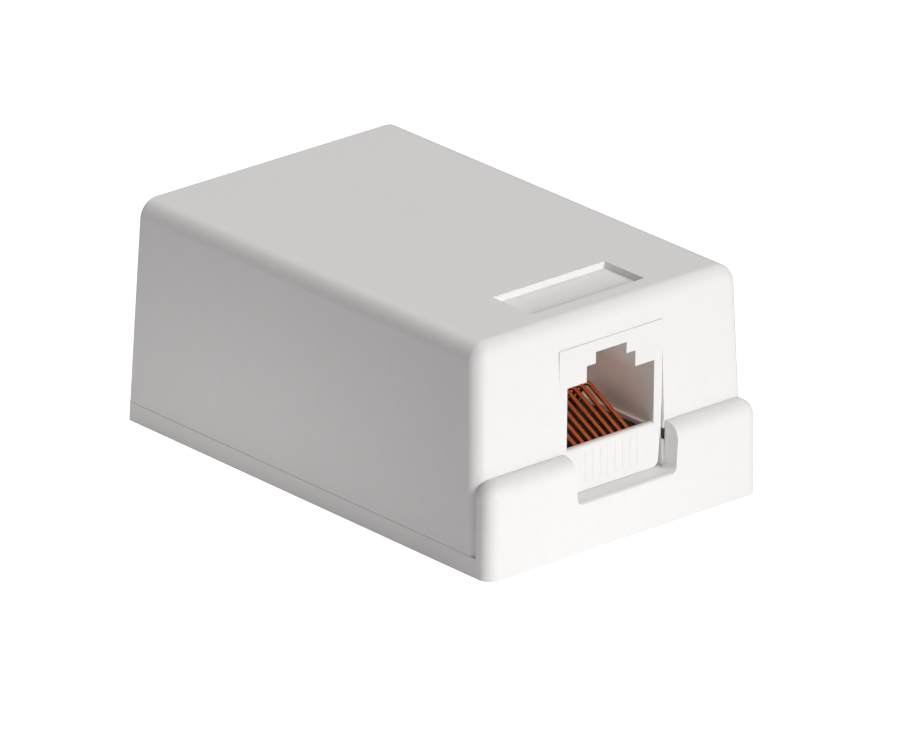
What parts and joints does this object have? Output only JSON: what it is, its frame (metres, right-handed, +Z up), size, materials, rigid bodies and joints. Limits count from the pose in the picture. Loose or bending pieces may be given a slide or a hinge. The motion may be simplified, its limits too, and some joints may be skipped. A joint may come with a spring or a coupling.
{
  "type": "surface mount jack box",
  "caption": "White surface mount box for a modular network socket: flat base with a front lip, lift-off cover with a label recess, and a jack with sprung contact wires on a small board.",
  "frame": {"origin": "middle of the underside's bounding box, on the mounting face", "axes": "+Z up from the mounting face, +Y from the socket face towards the rear, +X to the right seen from the socket"},
  "size_m": [0.0372, 0.057, 0.0248],
  "materials": {
    "box_plastic": "fine satin white",
    "jack_plastic": "smooth white",
    "carrier_plastic": "black",
    "block_plastic": "smooth white",
    "contact_metal": "coppery plating",
    "fork_metal": "bright tin plating",
    "screw_metal": "zinc plated",
    "board_laminate": "green solder mask"
  },
  "bodies": {
    "base": {"base": "box_plastic", "jack_housing": "jack_plastic", "contact_carrier": "carrier_plastic", "circuit_board": "board_laminate", "idc_block_left": "block_plastic", "idc_block_right": "block_plastic", "board_screw_left": "screw_metal", "board_screw_right": "screw_metal", "contact_wire_1": "contact_metal", "contact_wire_2": "contact_metal", "contact_wire_3": "contact_metal", "contact_wire_4": "contact_metal", "contact_wire_5": "contact_metal", "contact_wire_6": "contact_metal", "contact_wire_7": "contact_metal", "contact_wire_8": "contact_metal", "idc_clip_1": "fork_metal", "idc_clip_2": "fork_metal", "idc_clip_3": "fork_metal", "idc_clip_4": "fork_metal", "idc_clip_5": "fork_metal", "idc_clip_6": "fork_metal", "idc_clip_7": "fork_metal", "idc_clip_8": "fork_metal"},
    "cover": {"cover": "box_plastic"}
  },
  "joints": [
    {"name": "cover_lift", "type": "slide", "parent": "base", "child": "cover", "axis": [0, 0, 1], "range_m": [0, 0.03]}
  ]
}
